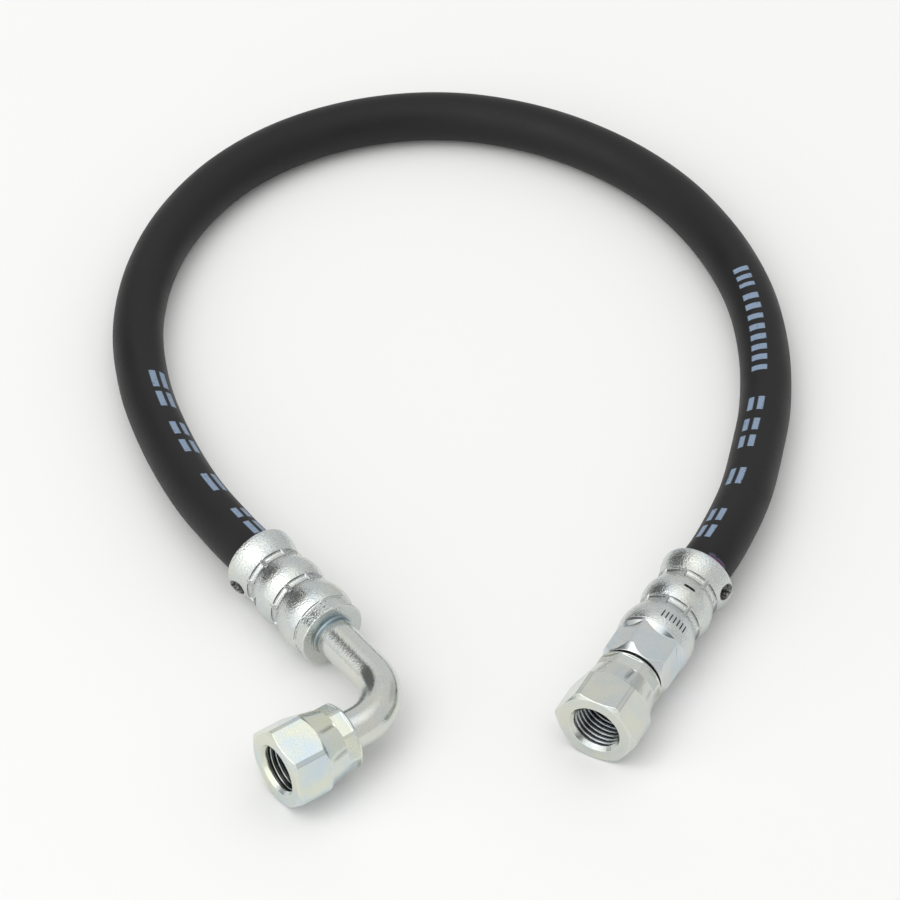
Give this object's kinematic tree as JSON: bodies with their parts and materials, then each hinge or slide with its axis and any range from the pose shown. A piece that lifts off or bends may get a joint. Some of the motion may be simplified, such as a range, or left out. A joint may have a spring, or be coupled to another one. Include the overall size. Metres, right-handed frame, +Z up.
{
  "type": "hydraulic hose assembly",
  "caption": "Flexible rubber hydraulic hose bent in a loop, with crimped ferrules, a straight swivel nut coupling at one end and an elbow swivel nut coupling at the other.",
  "frame": {"origin": "on the surface the hose lies on, below the middle of its bounding box", "axes": "+Z up from the surface, +Y from the two couplings towards the top of the hose's loop, +X towards the straight coupling's side"},
  "size_m": [0.173, 0.255, 0.0209],
  "materials": {
    "cover_rubber": "satin",
    "braid_wire": "satin",
    "liner_rubber": "matt",
    "ferrule_zinc": "zinc plated",
    "nipple_zinc": "zinc plated",
    "tube_zinc": "zinc plated",
    "braze": "zinc plated over braze",
    "nut_zinc": "zinc plated"
  },
  "bodies": {
    "hose": {"hose_cover": "cover_rubber", "wire_braid": "braid_wire", "inner_tube": "liner_rubber", "elbow_ferrule": "ferrule_zinc", "elbow_nipple": "nipple_zinc", "elbow_tube": "tube_zinc", "braze_fillet": "braze", "elbow_seat": "nipple_zinc", "straight_ferrule": "ferrule_zinc", "straight_nipple": "nipple_zinc"},
    "straight_swivel": {"straight_nut": "nut_zinc"},
    "elbow_swivel": {"elbow_nut": "nut_zinc"}
  },
  "joints": [
    {"name": "straight_nut_turn", "type": "hinge", "parent": "hose", "child": "straight_swivel", "pos_m": [0.0382, -0.09796, 0.00971], "axis": [-0.4633, -0.8862, 0], "continuous": true},
    {"name": "elbow_nut_turn", "type": "hinge", "parent": "hose", "child": "elbow_swivel", "pos_m": [-0.03258, -0.11437, 0.01051], "axis": [-0.8111, -0.585, 0], "continuous": true}
  ]
}
